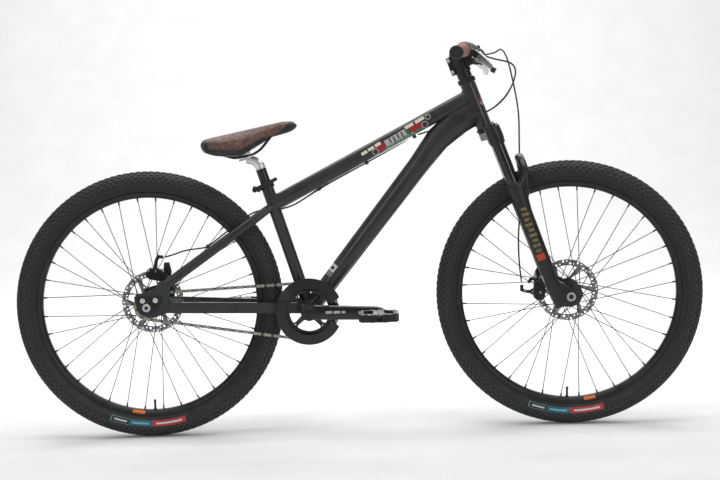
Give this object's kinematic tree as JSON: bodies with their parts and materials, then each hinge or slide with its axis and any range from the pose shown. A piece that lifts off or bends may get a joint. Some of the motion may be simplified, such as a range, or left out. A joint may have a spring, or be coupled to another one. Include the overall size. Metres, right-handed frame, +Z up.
{
  "type": "dirt jump bike",
  "caption": "Hardtail dirt jump bike with suspension fork, low saddle, riser bar, single-speed drive with bash guard and cable disc brakes.",
  "frame": {"origin": "on the ground, midway between the two axles, in the bike's middle plane", "axes": "+X forward, +Y to the rider's left, +Z up"},
  "size_m": [1.7476, 0.6816, 0.9834],
  "materials": {
    "frame_paint": "satin near-black paint",
    "fork_paint": "satin dark grey paint",
    "black_alloy": "satin black anodised",
    "gloss_black_alloy": "gloss black",
    "black_steel": "black",
    "polished_alloy": "polished",
    "dark_chrome": "dark polished",
    "steel": "brushed",
    "chain_steel": "plated, champagne tint",
    "tyre": "matt",
    "grip_rubber": "matt copper brown",
    "black_rubber": "matt",
    "saddle_cover": "matt printed cover",
    "black_plastic": "matt",
    "cable_jacket": "smooth"
  },
  "bodies": {
    "frame": {"frame": "frame_paint", "headset_cup_lower": "black_alloy", "headset_cup_upper": "black_alloy", "seat_collar": "black_alloy", "bottom_bracket_cup_right": "black_alloy", "bottom_bracket_cup_left": "black_alloy", "dropout_slider_right": "black_alloy", "dropout_slider_left": "black_alloy", "rear_axle": "steel", "rear_calliper": "black_alloy", "rear_brake_cable": "cable_jacket", "chain": "chain_steel"},
    "seat_mast": {"seat_post": "polished_alloy", "saddle_rails": "black_steel", "saddle_clamp": "polished_alloy", "saddle_pad": "saddle_cover", "saddle_base": "black_plastic"},
    "seat_lever": {"seat_clamp_lever": "black_alloy"},
    "steering": {"fork_crown": "fork_paint", "stanchion_right": "dark_chrome", "stanchion_left": "dark_chrome", "headset_spacer": "black_alloy", "stem": "black_alloy", "stem_faceplate": "black_alloy", "stem_top_cap": "black_alloy", "handlebar": "black_alloy", "grip_right": "grip_rubber", "grip_left": "grip_rubber", "brake_perch_right": "black_alloy", "brake_perch_left": "black_alloy", "rear_brake_cable_loop": "cable_jacket", "front_brake_cable_loop": "cable_jacket"},
    "lever_right": {"brake_lever_right": "polished_alloy"},
    "lever_left": {"brake_lever_left": "polished_alloy"},
    "lowers": {"fork_lowers": "fork_paint", "fork_seal_right": "black_rubber", "fork_seal_left": "black_rubber", "front_axle": "steel", "front_calliper": "black_alloy", "front_brake_cable": "cable_jacket"},
    "front_arm": {"front_calliper_arm": "black_alloy"},
    "rear_arm": {"rear_calliper_arm": "black_alloy"},
    "front_wheel": {"front_tyre": "tyre", "front_rim": "black_alloy", "front_hub_and_spokes": "black_steel", "front_rotor": "steel", "front_valve": "black_rubber"},
    "rear_wheel": {"rear_tyre": "tyre", "rear_rim": "black_alloy", "rear_hub_and_spokes": "black_steel", "rear_rotor": "steel", "rear_valve": "black_rubber"},
    "freewheel": {"rear_cog": "steel"},
    "cranks": {"crank_arm_right": "gloss_black_alloy", "crank_arm_left": "gloss_black_alloy", "crank_spindle": "steel", "chainring": "black_alloy", "bash_guard": "gloss_black_alloy"},
    "pedal_right": {"pedal_right": "black_alloy"},
    "pedal_left": {"pedal_left": "black_alloy"}
  },
  "joints": [
    {"name": "seat_height", "type": "slide", "parent": "frame", "child": "seat_mast", "axis": [-0.299, 0, 0.9542], "range_m": [-0.03, 0.15]},
    {"name": "seat_lever_turn", "type": "hinge", "parent": "frame", "child": "seat_lever", "pos_m": [-0.25864, 0, 0.62371], "axis": [0, -1, 0], "range_deg": [0, 120]},
    {"name": "steer", "type": "hinge", "parent": "frame", "child": "steering", "pos_m": [0.32783, 0, 0.76577], "axis": [-0.3437, 0, 0.9391], "range_deg": [-65, 75], "deforming": ["rear_brake_cable_loop"]},
    {"name": "fork_travel", "type": "slide", "parent": "steering", "child": "lowers", "axis": [-0.3437, 0, 0.9391], "range_m": [0, 0.1], "stiffness_N_per_m": 6000, "springref_m": -0.006, "deforming": ["front_brake_cable_loop"]},
    {"name": "front_wheel_spin", "type": "hinge", "parent": "lowers", "child": "front_wheel", "pos_m": [0.53463, -0.00416, 0.33894], "axis": [0.0818, 0.9962, 0.03], "continuous": true},
    {"name": "rear_wheel_spin", "type": "hinge", "parent": "frame", "child": "rear_wheel", "pos_m": [-0.5348, 0, 0.339], "axis": [0, 1, 0], "continuous": true},
    {"name": "crank_spin", "type": "hinge", "parent": "frame", "child": "cranks", "pos_m": [-0.12951, 0, 0.315], "axis": [0, 1, 0], "continuous": true, "deforming": ["chain"]},
    {"name": "freewheel_spin", "type": "hinge", "parent": "frame", "child": "freewheel", "pos_m": [-0.5348, 0, 0.339], "axis": [0, 1, 0], "continuous": true},
    {"name": "pedal_right_spin", "type": "hinge", "parent": "cranks", "child": "pedal_right", "pos_m": [0.0424, 0, 0.3096], "axis": [0, 1, 0], "continuous": true},
    {"name": "pedal_left_spin", "type": "hinge", "parent": "cranks", "child": "pedal_left", "pos_m": [-0.30142, 0, 0.3204], "axis": [0, 1, 0], "continuous": true},
    {"name": "brake_lever_right_pull", "type": "hinge", "parent": "steering", "child": "lever_right", "pos_m": [0.29121, -0.18956, 0.93952], "axis": [-0.4502, 0.1968, -0.8709], "range_deg": [0, 20], "stiffness_Nm_per_rad": 0.8, "springref_deg": -8.59},
    {"name": "brake_lever_left_pull", "type": "hinge", "parent": "steering", "child": "lever_left", "pos_m": [0.32176, 0.18228, 0.9507], "axis": [0.472, 0.0684, 0.8789], "range_deg": [0, 20], "stiffness_Nm_per_rad": 0.8, "springref_deg": -8.59},
    {"name": "rear_arm_turn", "type": "hinge", "parent": "frame", "child": "rear_arm", "pos_m": [-0.5223, 0, 0.40991], "axis": [0, -1, 0], "range_deg": [0, 20]},
    {"name": "front_arm_turn", "type": "hinge", "parent": "lowers", "child": "front_arm", "pos_m": [0.46291, 0.00166, 0.34141], "axis": [-0.0818, -0.9962, -0.03], "range_deg": [0, 20]}
  ],
  "couplings": [
    {"joint": "freewheel_spin", "follows": "crank_spin", "ratio": 2.25},
    {"joint": "rear_arm_turn", "follows": "brake_lever_right_pull", "ratio": 1},
    {"joint": "front_arm_turn", "follows": "brake_lever_left_pull", "ratio": 1}
  ]
}
